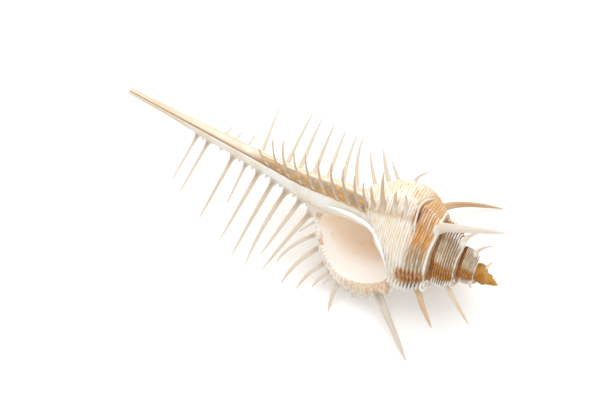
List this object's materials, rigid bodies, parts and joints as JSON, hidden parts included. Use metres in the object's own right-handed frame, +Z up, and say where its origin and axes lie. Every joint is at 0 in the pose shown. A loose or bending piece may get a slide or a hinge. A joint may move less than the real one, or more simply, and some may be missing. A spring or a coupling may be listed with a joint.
{
  "type": "murex seashell",
  "caption": "Comb murex seashell: coiled spire, ridged last whorl with an open mouth, three rows of long curved spines and a long slender slit canal.",
  "frame": {"origin": "on the surface the shell rests on, under the centre of its bounding box", "axes": "+X along the shell's axis towards the apex of the spire, -X towards the tip of the canal; +Z up, with one row of spines standing up; the mouth opens towards +Z and -Y"},
  "size_m": [0.12, 0.0552, 0.0432],
  "materials": {
    "shell": "natural aragonite: ribbed and satin outside, glossy porcelain in the mouth"
  },
  "bodies": {
    "root": {"shell": "shell"}
  },
  "joints": []
}
